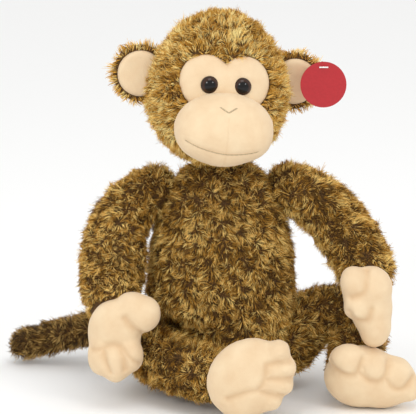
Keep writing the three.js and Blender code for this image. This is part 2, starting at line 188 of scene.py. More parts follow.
def remeshed(piece, voxel, smooth_steps):
    """Wraps the piece in an even skin of quads and relaxes it."""
    wrap = piece.modifiers.new("wrap", "REMESH")
    wrap.mode = "VOXEL"
    wrap.voxel_size = voxel
    applied(piece)
    relax = piece.modifiers.new("relax", "SMOOTH")
    relax.factor = 0.5
    relax.iterations = smooth_steps
    return applied(piece)


def shade_smooth(piece):
    piece.data.shade_smooth()
    return piece


def places_of(mesh):
    flat = np.zeros(3 * len(mesh.vertices), np.float32)
    mesh.vertices.foreach_get("co", flat)
    return flat.reshape(-1, 3).astype(float)


def normals_of(mesh):
    flat = np.zeros(3 * len(mesh.vertices), np.float32)
    mesh.vertices.foreach_get("normal", flat)
    return flat.reshape(-1, 3).astype(float)


def move_to(piece, places):
    piece.data.vertices.foreach_set("co", places.astype(np.float32).ravel())
    piece.data.update()


def surface_under(piece):
    """The piece's surface, in a tree that finds the nearest place or where a ray meets it."""
    bm = bmesh.new()
    bm.from_mesh(piece.data)
    tree = BVHTree.FromBMesh(bm)
    bm.free()
    return tree


# %% Swelling by cloth simulation
FRAMES = 20
PRESSURE = 4


def swell(piece, cap):
    """Blows the skin up by cloth pressure. No point sinks, or rises further than cap."""
    start, outwards = places_of(piece.data), normals_of(piece.data)
    cloth = piece.modifiers.new("filling", "CLOTH")
    cloth.settings.use_pressure = True
    cloth.settings.uniform_pressure_force = PRESSURE
    cloth.settings.effector_weights.gravity = 0
    cloth.point_cache.frame_start = 1
    cloth.point_cache.frame_end = FRAMES
    for step in range(1, FRAMES + 1):
        scene.frame_set(step)
    applied(piece)
    moved = np.sum((places_of(piece.data) - start) * outwards, axis=1, keepdims=True)
    move_to(piece, start + outwards * np.clip(moved, 0, cap))
    scene.frame_set(1)
    print(piece.name, "swelled by up to", round(float(moved.max()) / MM, 1), "mm before the cap")
    return piece


# %% Lobes and skins
WELD = 0.01 * MM


def add_lobe(bm, centre, radii, turn=(0, 0, 0)):
    """An egg in the bmesh, from millimetres and degrees."""
    place = Matrix.LocRotScale(
        Vector(centre) * MM, Euler([math.radians(t) for t in turn]), Vector(radii) * MM)
    bmesh.ops.create_uvsphere(bm, u_segments=28, v_segments=18, radius=1, matrix=place)


def packed_solids(nodes):
    """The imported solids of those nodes, merged in one bmesh."""
    bm = bmesh.new()
    for node in nodes:
        bm.from_mesh(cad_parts[node].data)
    bmesh.ops.remove_doubles(bm, verts=bm.verts[:], dist=WELD)
    return bm


def finer(piece):
    """Splits each face in four and rounds the result."""
    rise = piece.modifiers.new("rounder", "SUBSURF")
    rise.levels = 1
    rise.render_levels = 1
    return shade_smooth(applied(piece))


def on_the_floor(piece):
    """Flattens the skin where it rests, so that nothing sinks below the floor."""
    places = places_of(piece.data)
    places[:, 2] = np.maximum(places[:, 2], 0)
    move_to(piece, places)
    return piece


def plumped(piece, by=0.8 * MM):
    """Fills the skin out a little, so that the seams pressed in it stay clear of its filling."""
    move_to(piece, places_of(piece.data) + by * normals_of(piece.data))
    return on_the_floor(piece)


def rounded_skin(name, bm, voxel, cap, smooth_steps):
    """Wraps all that the bmesh holds in one closed, swelled and rounded skin."""
    mesh = bpy.data.meshes.new(name)
    bm.to_mesh(mesh)
    bm.free()
    piece = remeshed(as_object(name, mesh), voxel, smooth_steps)
    return on_the_floor(finer(swell(piece, cap)))


def stuffed_skin(name, nodes, lobes=(), voxel=4 * MM, cap=2.5 * MM, smooth_steps=6):
    """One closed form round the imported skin, what fills it, and any lobes beside it."""
    bm = packed_solids(nodes)
    for lobe in lobes:
        add_lobe(bm, *lobe)
    return rounded_skin(name, bm, voxel, cap, smooth_steps)


# %% [markdown]
# ## Finishes
# The pile is a blend of dark brown roots and golden tips, crimped so that it lies in small
# swirls. Each strand lies in one column of its UV map by its tone, and runs up that column
# from root to tip, so one small chart colours every strand.

# %% Tipped pile
PILE_MAP = "OFBake"


def pile_material(name, root, dark, middle, light, tip_from):
    """Tipped acrylic pile. The tone picks dark, middle or light, and the root stays dark."""
    material, shader = new_material(name, Roughness=0.72, Sheen_Weight=0.1, Sheen_Roughness=0.5)
    shader.inputs["Sheen Tint"].default_value = linear(light)
    place = add_node(material, "ShaderNodeUVMap", uv_map=PILE_MAP)
    parts = add_node(material, "ShaderNodeSeparateXYZ", {"Vector": place.outputs["UV"]})
    tone = add_node(material, "ShaderNodeValToRGB", {"Fac": parts.outputs["X"]})
    steps = tone.color_ramp.elements
    steps[0].position, steps[0].color = 0.12, linear(dark)
    steps[1].position, steps[1].color = 0.88, linear(light)
    between = steps.new(0.48)
    between.color = linear(middle)
    along = add_node(material, "ShaderNodeMapRange", {
        "Value": parts.outputs["Y"], "From Min": tip_from[0], "From Max": tip_from[1]},
        interpolation_type="SMOOTHSTEP")
    colour = add_node(material, "ShaderNodeMix", {
        "Factor": along.outputs["Result"], "A": linear(root), "B": tone.outputs["Color"]},
        data_type="RGBA")
    link(material, colour.outputs["Result"], shader, "Base Color")
    return material


# %% The backing under the pile
def backing_with_painted_shade(name, dark, light):
    """Knitted backing, seen only as dark specks between the strands. The cloth is brown, and
    painted darker still so that the gaps between strands read as deep shade.
    """
    material, shader = new_material(name, Roughness=0.95)
    place = add_node(material, "ShaderNodeTexCoord")
    specks = add_node(material, "ShaderNodeTexNoise", {
        "Vector": place.outputs["Object"], "Scale": 900.0, "Detail": 2.0})
    tone = add_node(material, "ShaderNodeValToRGB", {"Fac": specks.outputs["Fac"]})
    tone.color_ramp.elements[0].position = 0.35
    tone.color_ramp.elements[0].color = linear(dark)
    tone.color_ramp.elements[1].position = 0.7
    tone.color_ramp.elements[1].color = linear(light)
    link(material, tone.outputs["Color"], shader, "Base Color")
    bump = add_node(material, "ShaderNodeBump", {
        "Height": specks.outputs["Fac"], "Distance": 0.8 * MM, "Strength": 0.8})
    link(material, bump.outputs["Normal"], shader, "Normal")
    return material


body_pile = pile_material(
    "tipped_crimped_pile_body", "#3E2806", "#60400C", "#C68E26", "#FFDF88", (0.0, 0.45))
head_pile = pile_material(
    "tipped_crimped_pile_head", "#6E4A0A", "#966612", "#E4AC3C", "#FFEBA0", (0.0, 0.45))
tail_pile = pile_material(
    "tipped_crimped_pile_tail", "#2E1F08", "#4C340E", "#946A22", "#DAB468", (0.0, 0.7))
# Brown backing, darkened as painted shade in the gaps of the pile.
backing = backing_with_painted_shade("brown_knitted_backing_with_painted_shade", "#3B2811", "#6E4B22")
print("pile materials", body_pile.name, head_pile.name, tail_pile.name)


# %% Velboa
CREASE_SHADE = "painted_crease_shade"


def velboa_material():
    """Short-nap polyester knit. The nap is about 1 mm and scatters light, with no gloss. Shade is
    painted along its stitched creases.
    """
    material, shader = new_material(
        "short_nap_beige_velboa", Roughness=0.85, Sheen_Weight=0.35, Sheen_Roughness=0.45)
    shader.inputs["Sheen Tint"].default_value = linear("#FFF1DC")
    place = add_node(material, "ShaderNodeTexCoord")
    patches = add_node(material, "ShaderNodeTexNoise", {
        "Vector": place.outputs["Object"], "Scale": 70.0, "Detail": 3.0})
    tone = add_node(material, "ShaderNodeValToRGB", {"Fac": patches.outputs["Fac"]})
    tone.color_ramp.elements[0].position = 0.3
    tone.color_ramp.elements[0].color = linear("#DDC09A")
    tone.color_ramp.elements[1].position = 0.72
    tone.color_ramp.elements[1].color = linear("#E5CDA9")
    # Painted shade: along the stitched creases the attribute mixes the cloth towards #BE9468.
    painted_fold_shade = add_node(material, "ShaderNodeAttribute", attribute_name=CREASE_SHADE)
    shaded = add_node(material, "ShaderNodeMix", {
        "Factor": painted_fold_shade.outputs["Fac"], "A": tone.outputs["Color"], "B": linear("#BE9468")},
        data_type="RGBA")
    link(material, shaded.outputs["Result"], shader, "Base Color")
    nap = add_node(material, "ShaderNodeTexNoise", {
        "Vector": place.outputs["Object"], "Scale": 1500.0, "Detail": 2.0})
    bump = add_node(material, "ShaderNodeBump", {
        "Height": nap.outputs["Fac"], "Distance": 0.4 * MM, "Strength": 0.7})
    link(material, bump.outputs["Normal"], shader, "Normal")
    return material


velboa = velboa_material()
print("bare cloth", velboa.name)


# %% Moulded plastic, thread, card, satin and the hidden filling
def speckled(name, dark, light, scale, height, **sockets):
    """A material whose colour and surface vary by one noise of that many lumps a metre."""
    material, shader = new_material(name, **sockets)
    place = add_node(material, "ShaderNodeTexCoord")
    lumps = add_node(material, "ShaderNodeTexNoise", {
        "Vector": place.outputs["Object"], "Scale": scale, "Detail": 3.0})
    tone = add_node(material, "ShaderNodeValToRGB", {"Fac": lumps.outputs["Fac"]})
    tone.color_ramp.elements[0].position = 0.35
    tone.color_ramp.elements[0].color = linear(dark)
    tone.color_ramp.elements[1].position = 0.65
    tone.color_ramp.elements[1].color = linear(light)
    link(material, tone.outputs["Color"], shader, "Base Color")
    bump = add_node(material, "ShaderNodeBump", {
        "Height": lumps.outputs["Fac"], "Distance": height, "Strength": 0.6})
    link(material, bump.outputs["Normal"], shader, "Normal")
    return material


# The fibre is dull white lumps, and the pellets are small milky beads behind their mesh.
fibre_fill = speckled(
    "white_polyester_fibre_fill", "#DDDAD0", "#FBFAF6", 400.0, 2 * MM, Roughness=0.95)
pellets = speckled(
    "polyethylene_pellets_in_mesh", "#C9C8C0", "#F2F2EE", 600.0, 2 * MM, Roughness=0.5)
# Polyethylene and nylon are waxy and half clear, with a broad soft highlight.
washer_plastic = speckled(
    "moulded_polyethylene_washer", "#D5D0C2", "#E4DFD2", 900.0, 0.1 * MM, Roughness=0.45)
nylon = speckled(
    "clear_moulded_nylon", "#DCDCDA", "#F4F4F2", 800.0, 0.1 * MM, Roughness=0.3, IOR=1.53)
# Satin has long floats of yarn, so its highlight is drawn out across them.
satin = speckled(
    "white_satin_ribbon", "#EDEBE6", "#FFFFFF", 2500.0, 0.1 * MM, Roughness=0.4, Anisotropic=0.4)
# Coated card shines a little under its thin film, and its cut edge is bare and rough.
card_red = speckled(
    "coated_red_card", "#A90E1A", "#B0121E", 500.0, 0.05 * MM, Roughness=0.42, Coat_Weight=0.1)
card_rim = speckled(
    "cut_red_card_edge", "#8E0D16", "#A01019", 1200.0, 0.1 * MM, Roughness=0.7)
# Mercerised cotton is combed smooth, so it has a little sheen along its twist.
thread = speckled(
    "mercerised_embroidery_thread", "#9C8868", "#C4AE8A", 1800.0, 0.3 * MM, Roughness=0.6,
    Sheen_Weight=0.3)
print("finishes made:", len(bpy.data.materials))

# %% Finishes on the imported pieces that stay
inside = {"stuffing": fibre_fill, "pellet": pellets, "washer": washer_plastic, "fastener": nylon}
finished = 0
for name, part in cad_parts.items():
    for word, finish in inside.items():
        if word in name:
            part.data.materials.clear()
            part.data.materials.append(finish)
            finished += 1
print(finished, "packed pieces finished")

# %% [markdown]
# ## The pile
# A strand is a narrow ribbon that tapers to its tip. One strand is modelled, and its copies
# are rooted all over a skin, leaning the way the pile is brushed. A smooth random field turns
# the lean into whorls, and neighbours are drawn to one tip, because crimped pile clings in
# small tufts.

# %% One strand
STRAND_FACES_LONG = 2
STRAND_TAPER = 0.7


def strand_shape():
    """A tapering ribbon one long and one wide, as its points and its faces."""
    bm = bmesh.new()
    bmesh.ops.create_grid(bm, x_segments=1, y_segments=STRAND_FACES_LONG, size=0.5)
    bmesh.ops.translate(bm, verts=bm.verts[:], vec=(0, 0.5, 0))
    for vert in bm.verts:
        vert.co.x *= 1 - STRAND_TAPER * vert.co.y ** 1.5
    points = np.array([vert.co[:] for vert in bm.verts])
    faces = np.array([[vert.index for vert in face.verts] for face in bm.faces])
    bm.free()
    return points, faces


STRAND, STRAND_FACES = strand_shape()
print("a strand has", len(STRAND_FACES), "faces")


# %% Smooth random fields
def unit(vectors):
    """The same directions, each one long."""
    return vectors / np.maximum(np.linalg.norm(vectors, axis=1, keepdims=True), 1e-9)


def ripple(places, size, seed, waves=7):
    """A smooth random value at each place, mostly from -1 to 1, in lumps about size across."""
    random = np.random.default_rng(seed)
    total = np.zeros(len(places))
    for _ in range(waves):
        direction = unit(random.normal(size=(1, 3)))[0]
        length = 2 * size * random.uniform(0.7, 1.5)
        start = random.uniform(0, 2 * math.pi)
        total += np.sin(places @ direction * (2 * math.pi / length) + start)
    return total / math.sqrt(waves / 2)


def whorls(places, size, seed):
    """A smooth random direction at each place."""
    return np.stack([ripple(places, size, seed + axis) for axis in range(3)], axis=1)


# %% Roots spread over a skin
def scatter(piece, per_mm2, seed):
    """Random places on the skin, evenly by area, with the skin's normal at each."""
    mesh = piece.data
    mesh.calc_loop_triangles()
    corners = np.zeros(3 * len(mesh.loop_triangles), np.int32)
    mesh.loop_triangles.foreach_get("vertices", corners)
    corners = corners.reshape(-1, 3)
    places, normals = places_of(mesh), normals_of(mesh)
    a, b, c = (places[corners[:, k]] for k in range(3))
    areas = np.linalg.norm(np.cross(b - a, c - a), axis=1) / 2
    random = np.random.default_rng(seed)
    count = int(areas.sum() / MM ** 2 * per_mm2)
    chosen = random.choice(len(areas), count, p=areas / areas.sum())
    share = random.dirichlet((1, 1, 1), count)
    at = sum(share[:, k, None] * places[corners[chosen, k]] for k in range(3))
    up = unit(sum(share[:, k, None] * normals[corners[chosen, k]] for k in range(3)))
    return at, up


# %% Tufts that share a tip
TUFT_PULL = 0.45


def gathered(roots, tips, per_tuft, seed):
    """Draws each tip towards the tip of the nearest leader, one leader to a tuft."""
    random = np.random.default_rng(seed)
    leaders = random.choice(len(roots), max(1, len(roots) // per_tuft), replace=False)
    tree = KDTree(len(leaders))
    for number, leader in enumerate(leaders):
        tree.insert(roots[leader], number)
    tree.balance()
    nearest = np.array([leaders[tree.find(root)[1]] for root in roots])
    pull = TUFT_PULL * random.uniform(0.6, 1.2, (len(roots), 1))
    return tips + (tips[nearest] - tips) * np.minimum(pull, 1), nearest


# %% Growing the pile
FLOOR_CLEARANCE = 0.2 * MM
STRAND_SPREAD = (0.7, 1.25)
UNEVEN_CUT = 0.15
TIP_JITTER = 0.24
BOW_ALONG = 0.45
BOW_OUT = 0.28


def grow_pile(name, roots, normals, lay, material, body, length=5 * MM, width=0.42 * MM,
              stand=0.9, swirl=1.0, whorl=5 * MM, per_tuft=4, tone_bias=0.5, contrast=0.42, seed=1):
    """Strands at the roots, leaning along lay, in whorls and tufts, as one piece on a body."""
    random = np.random.default_rng(seed)
    count = len(roots)
    field = whorls(roots, whorl, seed)
    lean = lay + swirl * field
    lean -= normals * np.sum(lean * normals, axis=1, keepdims=True)
    uneven = 1 + UNEVEN_CUT * ripple(roots, 6 * MM, seed + 9)[:, None]
    longs = length * random.uniform(*STRAND_SPREAD, (count, 1)) * uneven
    lean *= np.minimum(1, 1 / np.maximum(np.linalg.norm(lean, axis=1, keepdims=True), 1e-9))
    heading = unit(normals * stand + lean)
    tips = roots + heading * longs + random.normal(0, TIP_JITTER, (count, 3)) * longs
    tips, tuft = gathered(roots, tips, per_tuft, seed + 5)
    bows = roots + (tips - roots) * BOW_ALONG + normals * longs * BOW_OUT
    sides = unit(np.cross(tips - roots, random.normal(size=(count, 3))))
    widths = width * random.uniform(*STRAND_SPREAD, (count, 1))
    points = bent_strands(roots, bows, tips, sides * widths)
    points[:, :, 2] = np.maximum(points[:, :, 2], FLOOR_CLEARANCE)
    tufts = random.normal(size=count)[tuft]
    broad, fine = ripple(roots, 16 * MM, seed + 20), ripple(roots, 3.5 * MM, seed + 30)
    mixed = 0.25 * broad + 0.35 * fine + 0.5 * tufts + 0.4 * random.normal(size=count)
    tone = np.clip(tone_bias + contrast * mixed, 0.01, 0.99)
    strands_object(name, points, tone, material, body)


def bent_strands(roots, bows, tips, sides):
    """Each strand's points, on a curve from its root to its tip that bends towards its bow."""
    along = STRAND[None, :, 1, None]
    path = (1 - along) ** 2 * roots[:, None]
    path = path + 2 * along * (1 - along) * bows[:, None]
    path = path + along ** 2 * tips[:, None]
    return path + STRAND[None, :, 0, None] * sides[:, None]


HALF_COLUMN = 0.004
CHART_MARGIN = 0.02


def strands_object(name, points, tone, material, body):
    """All strands as one mesh of quads, charted by tone across and by length up."""
    count = len(points)
    faces = (np.arange(count)[:, None, None] * len(STRAND) + STRAND_FACES[None]).reshape(-1, 4)
    mesh = bpy.data.meshes.new(name)
    mesh.vertices.add(count * len(STRAND))
    mesh.vertices.foreach_set("co", points.astype(np.float32).ravel())
    mesh.loops.add(faces.size)
    mesh.loops.foreach_set("vertex_index", faces.astype(np.int32).ravel())
    mesh.polygons.add(len(faces))
    mesh.polygons.foreach_set("loop_start", np.arange(0, faces.size, 4, dtype=np.int32))
    mesh.update(calc_edges=True)
    mesh.shade_smooth()
    corner_strand = faces.ravel() // len(STRAND)
    corner_point = faces.ravel() % len(STRAND)
    u = tone[corner_strand] + HALF_COLUMN * 2 * STRAND[corner_point, 0]
    v = CHART_MARGIN + (1 - 2 * CHART_MARGIN) * STRAND[corner_point, 1]
    chart = mesh.uv_layers.new(name=PILE_MAP)
    chart.uv.foreach_set("vector", np.stack([u, v], axis=1).astype(np.float32).ravel())
    pile = as_object(name, mesh, material)
    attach(pile, body)
    print(name, count, "strands,", 2 * len(faces), "triangles")


# %% [markdown]
# ## Which way each limb's pile is brushed
# Pile is cut so that it runs down a limb, from shoulder to wrist and from hip to ankle. Each
# limb's middle line, given in millimetres from the seat, gives that direction.

# %% Middle lines of the limbs
LINES = {
    "right_arm": [(-53, 2, 160), (-71, -6, 149), (-84, -16, 128), (-88, -31, 102), (-86, -44, 82)],
    "left_arm": [(55, 2, 162), (80, -6, 150), (98, -16, 130), (110, -32, 112), (113, -46, 99)],
    "right_leg": [(-52, 2, 34), (-56, -30, 34), (-40, -55, 32), (-2, -74, 30)],
    "left_leg": [(52, 2, 34), (84, 6, 63), (112, 2, 60), (104, -28, 32)],
    "tail": [(-18, 47, 42), (-50, 64, 41), (-104, 61, 32), (-164, 65, 16)],
}
LINE_REACH = 20 * MM
print("pile directions for", ", ".join(LINES))


def along_line(name):
    """A function from places to the direction of that limb's line beside them."""
    line = np.array(LINES[name], float) * MM
    starts, steps = line[:-1], np.diff(line, axis=0)
    middles = starts + steps / 2

    def direction(places):
        apart = np.linalg.norm(places[:, None] - middles[None], axis=2)
        weights = np.exp(-(apart / LINE_REACH) ** 2) + 1e-9
        return unit(weights @ unit(steps))

    return direction


def downwards(places):
    return np.tile(np.array([[0.0, 0.0, -1.0]]), (len(places), 1))


# %% [markdown]
# ## Torso
# The torso is a pear, sewn from a front and a back panel. The pile of each panel is a piece
# of its own, because a maker cuts them apart.

# %% Torso
def dress(name, nodes, body, **shape):
    """The plush skin of one part, in place of the first of its nodes and riding on its body."""
    skin = stuffed_skin(name, nodes, **shape)
    skin.data.materials.append(backing)
    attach(skin, body)
    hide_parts(nodes[0])
    print(name, len(skin.data.polygons), "faces")
    return skin


PILE_DENSITY = 1.75
SEAT_EDGE = 3 * MM
torso_nodes = ["torso_skin", "torso_stuffing", "seat_pellet_bag"]
torso = dress("torso_plush", torso_nodes, "torso", voxel=5 * MM)
roots, normals = scatter(torso, PILE_DENSITY, 11)
above_seat = ~((roots[:, 2] < SEAT_EDGE) & (normals[:, 2] < -0.5))
front = above_seat & (normals[:, 1] < 0)
back = above_seat & ~front
for panel, chosen in (("torso_pile_front", front), ("torso_pile_back", back)):
    grow_pile(panel, roots[chosen], normals[chosen], downwards(roots[chosen]), body_pile, "torso",
              seed=100)

# %% [markdown]
# ## Arms, legs and tail
# Each limb is a tube that is gathered round the hand or foot. The gathered end is a ball
# about the joint, so it keeps its shape as the hand or foot turns in it.

# %% Arms, legs and tail
WRISTS = {"right_arm": (-85, -50, 73), "left_arm": (114, -54, 93)}
ANKLES = {"right_leg": (6, -82, 31), "left_leg": (103, -36, 30)}
WRIST_BALL = (17, 17, 17)
ANKLE_BALL = (18.5, 18.5, 18.5)
GATHERS = {name: (centre, WRIST_BALL) for name, centre in WRISTS.items()}
GATHERS |= {name: (centre, ANKLE_BALL) for name, centre in ANKLES.items()}

INNER_ARM = ((-79, -22, 110), (19, 17, 34))
limbs = {}
for name in LINES:
    gathers = [GATHERS[name]] if name in GATHERS else []
    if name == "right_arm":
        gathers.append(INNER_ARM)
    limbs[name] = dress(
        f"{name}_plush", [f"{name}_skin", f"{name}_stuffing"], name, lobes=gathers)

# %% [markdown]
# ## Head
# The head is lighter than the body, and its pile is brushed away from the face. The bare
# panels, two lobes round the eyes and the muzzle, are velboa, so no pile grows on them.

# %% The head's own frame
HEAD_LEAN = (0, 4, 7)
HEAD_MIDDLE = Vector((-3, -4, 243)) * MM
tilt, turn = math.radians(HEAD_LEAN[1]), math.radians(HEAD_LEAN[2])
head_turn = Matrix.Rotation(turn, 4, "Z") @ Matrix.Rotation(tilt, 4, "Y")
head_place = Matrix.Translation(HEAD_MIDDLE) @ head_turn


def on_head(x, y, z):
    """A place in the toy's frame from millimetres in the head's own frame."""
    return head_place @ Vector((x * MM, y * MM, z * MM))


def in_head(places):
    """Places in the head's own frame, in millimetres."""
    back = np.array(head_place.inverted())
    return (places @ back[:3, :3].T + back[:3, 3]) / MM


# %% Head skin and its pile
PATCH_LOBE = 20.5
PATCH_SPREAD = 14
PATCH_RISE = 10
MUZZLE_MIDDLE = (0, -51, -24)
MUZZLE_HALF = (38.5, 25, 28)
NECK_EDGE = -57
BRUSHED_FROM = -8
HEAD_DENSITY = 2.0

head = dress("head_plush", ["head_skin", "head_stuffing"], "head")
roots, normals = scatter(head, HEAD_DENSITY, 31)
local = in_head(roots)
forward = local[:, 1] < 0
in_lobe = np.zeros(len(local), bool)
for side in (-1, 1):
    apart = np.hypot(local[:, 0] - side * PATCH_SPREAD, local[:, 2] - PATCH_RISE)
    in_lobe |= apart < PATCH_LOBE - 0.8
in_muzzle = np.linalg.norm((local - MUZZLE_MIDDLE) / MUZZLE_HALF, axis=1) < 1
furry = ~(forward & (in_lobe | in_muzzle)) & (local[:, 2] > NECK_EDGE)
roots, normals, local = roots[furry], normals[furry], local[furry]
away = np.stack([local[:, 0], np.zeros(len(local)), local[:, 2] - BRUSHED_FROM], axis=1)
brushed = unit(away) * 0.9 + np.array([[0, 0.3, -0.15]])
right_side = local[:, 0] < 0
for panel, chosen in (("head_pile_right", right_side), ("head_pile_left", ~right_side)):
    grow_pile(panel, roots[chosen], normals[chosen], brushed[chosen], head_pile, "head",
              length=4.8 * MM, width=0.4 * MM, stand=0.95, whorl=4.5 * MM, tone_bias=0.55,
              contrast=0.4, seed=300)

# %% [markdown]
# ## Stitched creases
# Fingers, toes and the middle of the muzzle are drawn in by stitches. The skin sinks along each
# line, and shade is painted along it into an attribute that darkens the cloth. A bump in the
# material would look flat from the side, so the mesh itself is pressed.

# %% Creases
FRONT_ONLY = 2.5
SHADE_WIDTH = 0.7


def rounded_line(points, rounds=3):
    """Cuts the corners off a line until it is a smooth curve."""
    line = np.array(points, float)
    for _ in range(rounds):
        early = line[:-1] * 0.75 + line[1:] * 0.25
        late = line[:-1] * 0.25 + line[1:] * 0.75
        between = np.stack([early, late], axis=1).reshape(-1, line.shape[1])
        line = np.vstack([line[:1], between, line[-1:]])
    return line


def in_millimetres(places):
    return places / MM


def press_creases(piece, lines, depth=2, width=2.8, shade_depth=0.3, to_local=in_millimetres):
    """Sinks the front of the skin along lines of (x, z), all in millimetres, and paints shade along
    them.
    """
    places, normals = places_of(piece.data), normals_of(piece.data)
    seen = to_local(places)[:, [0, 2]]
    nearest = np.full(len(places), np.inf)
    for line in lines:
        points = rounded_line(line)
        for start, end in zip(points[:-1], points[1:]):
            step = end - start
            share = np.clip((seen - start) @ step / max(step @ step, 1e-9), 0, 1)
            apart = np.linalg.norm(seen - start - share[:, None] * step, axis=1)
            nearest = np.minimum(nearest, apart)
    in_front = np.clip(-FRONT_ONLY * normals[:, 1], 0, 1)
    sunk = np.exp(-(nearest / width) ** 2) * in_front
    move_to(piece, places - normals * (depth * MM * sunk)[:, None])
    marks = piece.data.attributes
    shade = marks.get(CREASE_SHADE) or marks.new(CREASE_SHADE, "FLOAT", "POINT")
    before = np.zeros(len(places), np.float32)
    shade.data.foreach_get("value", before)
    # Painted shade: darkest on the line, fading out to either side.
    painted_shade = shade_depth * np.exp(-(nearest / (SHADE_WIDTH * width)) ** 2) * in_front
    shade.data.foreach_set("value", np.maximum(before, painted_shade).astype(np.float32))


# %% [markdown]
# ## Hands and feet
# A paw is velboa over loose pellets, so it is a few soft lobes with stitched creases between
# its fingers or toes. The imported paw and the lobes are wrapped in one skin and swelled, then
# the creases are pressed in. Each lobe is its middle, its half sizes and its turn.

# %% Paws
PAW_VOXEL = 2.6 * MM


def make_paw(name, lobes, creases):
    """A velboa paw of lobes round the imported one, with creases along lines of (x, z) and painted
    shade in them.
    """
    bm = packed_solids([f"{name}_skin", f"{name}_pellets"])
    for lobe in lobes:
        add_lobe(bm, *lobe)
    skin = rounded_skin(f"{name}_velboa", bm, PAW_VOXEL, cap=0.8 * MM, smooth_steps=5)
    paw = finer(skin)
    plumped(paw)
    # The creases are pressed in, and shade is painted along them.
    press_creases(paw, creases)
    paw.data.materials.append(velboa)
    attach(paw, name)
    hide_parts(f"{name}_skin")
    print(name, len(paw.data.polygons), "faces")
    return paw


# %% Right hand
WRIST_LOBE = (14, 14, 14)
ANKLE_LOBE = (13.7, 13.7, 13.7)
right_hand = make_paw("right_hand", [
    (WRISTS["right_arm"], WRIST_LOBE),
    ((-83, -61, 60), (20.5, 13, 27), (10, 0, 0)),
    ((-94, -66, 43), (9.5, 10.5, 15)),
    ((-82, -69, 36), (10.5, 11, 13)),
    ((-70, -68, 44), (9.5, 10.5, 13)),
    ((-61, -64, 76), (14, 10.5, 14.5), (0, 12, 0)),
    ((-69, -63, 82), (13, 10, 11)),
], [
    [(-74, 75), (-69, 67), (-62, 62)],
    [(-101, 50), (-93, 51), (-88, 54), (-81, 55), (-75, 50), (-68, 42), (-60, 38)],
    [(-91, 51), (-90, 42), (-86, 33)],
    [(-78, 53), (-75, 44), (-74, 35)],
])

# %% Left hand
left_hand = make_paw("left_hand", [
    (WRISTS["left_arm"], WRIST_LOBE),
    ((115, -63, 96), (16.5, 12.5, 17.5)),
    ((116, -60, 80), (16, 13.5, 22)),
    ((119, -62, 65), (12, 11.5, 16), (0, 8, 0)),
    ((104, -67, 82), (10, 9.5, 10)),
    ((101, -66, 102), (10, 9, 12.5)),
], [
    [(111, 112), (110, 101), (108, 94), (99, 91)],
    [(97, 80), (101, 73), (108, 71), (113, 74), (115, 82)],
])

# %% Right foot
RIGHT_TOES = [(43, 57), (48, 44), (46, 31), (37, 19)]
right_foot = make_paw("right_foot", [
    (ANKLES["right_leg"], ANKLE_LOBE),
    ((20, -99, 35), (33, 15.5, 29), (0, -42, 0)),
    ((15, -101, 18), (15, 12, 13)),
    *[((x, -102, z), (8.5, 10, 8.5)) for x, z in RIGHT_TOES],
], [
    [(34, 49), (43, 50.5), (54, 51)],
    [(33, 38), (43, 37.5), (55, 37)],
    [(28, 29), (38, 25.5), (49, 22)],
    [(4, 22), (13, 26), (21, 29), (28, 29), (33, 38), (34, 49)],
])

# %% Left foot
left_foot = make_paw("left_foot", [
    (ANKLES["left_leg"], ANKLE_LOBE),
    ((109, -61, 25), (29, 18, 24)),
    ((124, -63, 19), (25, 16, 18)),
    ((98, -70, 41), (15, 12, 12)),
    ((119, -70, 34), (11.5, 12, 12)),
    ((137, -68, 29), (11, 11.5, 11.5)),
    ((146, -66, 17), (8.5, 11, 10)),
], [
    [(82, 40), (90, 33), (98, 30), (105, 32), (109, 44)],
    [(106, 33), (113, 26), (122, 26), (127, 31), (129, 42)],
    [(126, 29), (131, 21), (138, 19), (144, 23), (148, 28)],
])

# %% [markdown]
# ## The limbs' pile
# The pile comes after the paws, because none grows where a hand or foot lies over the plush.
# The left hand hangs on the left foot, so the foot's skin is first dented where they touch.

# %% A foot dented by the hand on it
DENT_REACH = 6 * MM
DENT_ROOM = 0.3 * MM


def dented(piece, other):
    """Draws the piece's skin back to just outside the other's, wherever it would lie inside."""
    tree = surface_under(other)
    places = places_of(piece.data)
    moved = 0
    for number, at in enumerate(places):
        place, normal, _, _ = tree.find_nearest(at, DENT_REACH)
        if place is not None and (Vector(at) - place).dot(normal) < DENT_ROOM:
            places[number] = place + DENT_ROOM * normal
            moved += 1
    move_to(piece, places)
    print(piece.name, "dented at", moved, "points")


dented(left_foot, left_hand)

# %% Limb pile
PAWS = {
    "right_arm": right_hand,
    "left_arm": left_hand,
    "right_leg": right_foot,
    "left_leg": left_foot,
}
PAW_ROOM = 2 * MM
PAW_REACH = 30 * MM


def under_a_paw(roots, paw):
    """Which roots lie inside the paw's skin or close to it."""
    tree = surface_under(paw)
    covered = np.zeros(len(roots), bool)
    for number, root in enumerate(roots):
        place, normal, _, apart = tree.find_nearest(root, PAW_REACH)
        if place is not None:
            covered[number] = apart < PAW_ROOM or (Vector(root) - place).dot(normal) < 0
    return covered


for number, name in enumerate(LINES):
    roots, normals = scatter(limbs[name], PILE_DENSITY, 21 + number)
    if name in PAWS:
        bare = under_a_paw(roots, PAWS[name])
        roots, normals = roots[~bare], normals[~bare]
    finish = tail_pile if name == "tail" else body_pile
    grow_pile(f"{name}_pile", roots, normals, along_line(name)(roots), finish, name,
              seed=200 + 10 * number)

# %% [markdown]
# ## Muzzle
# The muzzle is a velboa bean with a seam down its middle. Its lobes are given in the head's
# own frame, then turned with the head.

# %% Muzzle
MUZZLE_LOBES = [
    ((0, -51, -23), (38.5, 25, 25)),
    ((-15, -54, -27), (23, 21, 21)),
    ((15, -54, -27), (23, 21, 21)),
    ((0, -53, -33), (25, 22, 20)),
]
MUZZLE_SEAM = [(0, -12), (0, -52)]
MOUTH_MIDDLE = (-3, -39.5)
MOUTH_HALF = 28
MOUTH_SLANT = 3
MOUTH_SMILE = 5.5


def mouth_at(share):
    """The mouth's line in the head's (x, z), from its right corner, -1, to its left one, 1."""
    x = MOUTH_MIDDLE[0] + MOUTH_HALF * share
    return x, MOUTH_MIDDLE[1] - MOUTH_SLANT * share + MOUTH_SMILE * share ** 2


